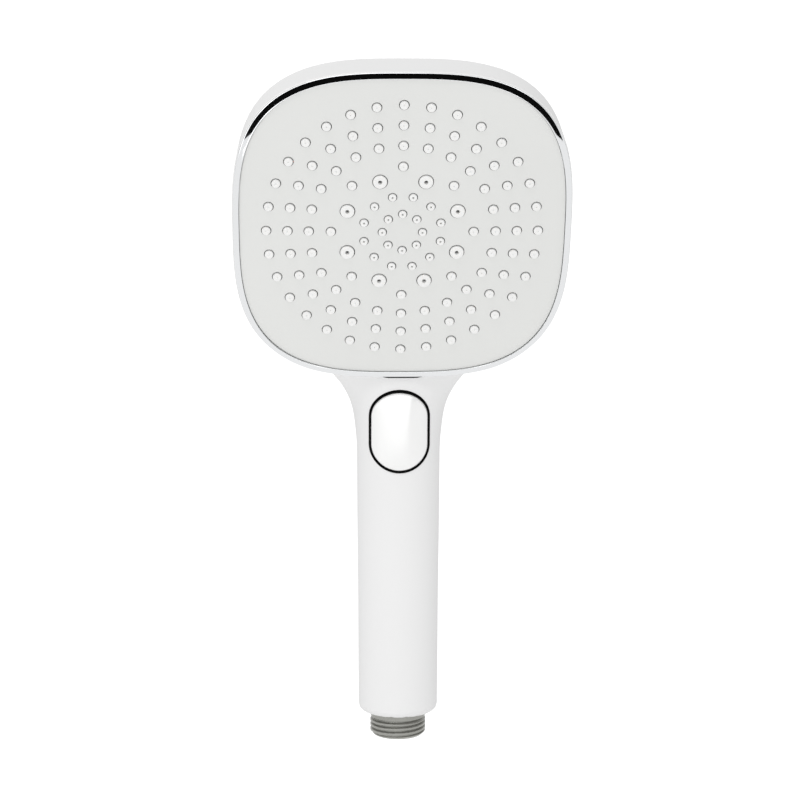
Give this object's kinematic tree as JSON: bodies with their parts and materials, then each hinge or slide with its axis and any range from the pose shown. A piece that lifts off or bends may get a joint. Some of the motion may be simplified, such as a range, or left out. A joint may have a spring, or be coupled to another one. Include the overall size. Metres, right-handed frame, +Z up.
{
  "type": "handheld shower head",
  "caption": "Handheld shower head: rounded-square spray face with rings of soft nozzles in a bright trim, straight handle, push-button spray selector and threaded inlet.",
  "frame": {"origin": "centre of the inlet's end face, on the handle's axis", "axes": "+Z up along the handle, -Y the side that the spray face looks to, +X to the right of someone who looks at the face"},
  "size_m": [0.12, 0.0777, 0.2557],
  "materials": {
    "white_gloss_abs": "glossy white moulding",
    "polished_chrome": "polished",
    "face_grey_abs": "satin light grey",
    "white_silicone": "matte, soft",
    "engine_pom": "matte",
    "black_rubber": "matte",
    "stainless_steel": "drawn or turned",
    "grey_connector": "satin grey, slightly metallic",
    "valve_pom": "matte dark grey",
    "drum_pom": "matte blue",
    "tube_pe": "satin, slightly translucent",
    "restrictor_pom": "matte green"
  },
  "bodies": {
    "shower": {"handle_shell": "white_gloss_abs", "trim_ring": "polished_chrome", "button_bezel": "polished_chrome", "face_plate": "face_grey_abs", "outer_nozzle_mat": "white_silicone", "massage_nozzle_ring": "white_silicone", "inner_nozzle_mat": "white_silicone", "chamber_plate": "engine_pom", "engine_back_plate": "engine_pom", "neck_manifold": "engine_pom", "engine_gasket": "black_rubber", "engine_screw_1": "stainless_steel", "engine_screw_2": "stainless_steel", "engine_screw_3": "stainless_steel", "engine_screw_4": "stainless_steel", "spigot_o_ring_1": "black_rubber", "spigot_o_ring_2": "black_rubber", "spigot_o_ring_3": "black_rubber", "valve_body": "valve_pom", "valve_cover": "valve_pom", "valve_screw_1": "stainless_steel", "valve_screw_2": "stainless_steel", "plunger_o_ring": "black_rubber", "return_spring": "stainless_steel", "water_tube": "tube_pe", "tube_o_ring": "black_rubber", "connector_o_ring": "black_rubber", "flow_restrictor": "restrictor_pom", "inlet_filter": "stainless_steel", "inlet_connector": "grey_connector"},
    "button": {"button_cap": "white_gloss_abs", "plunger": "stainless_steel"},
    "selector": {"selector_drum": "drum_pom"}
  },
  "joints": [
    {"name": "button_press", "type": "slide", "parent": "shower", "child": "button", "axis": [0, 1, 0], "range_m": [0, 0.003], "stiffness_N_per_m": 600, "springref_m": -0.005, "deforming": ["return_spring"]},
    {"name": "selector_turn", "type": "hinge", "parent": "shower", "child": "selector", "pos_m": [0, 0, 0.119], "axis": [0, 1, 0], "range_deg": [0, 60]}
  ],
  "couplings": [
    {"joint": "selector_turn", "follows": "button_press", "rad_per_m": 349.07}
  ]
}
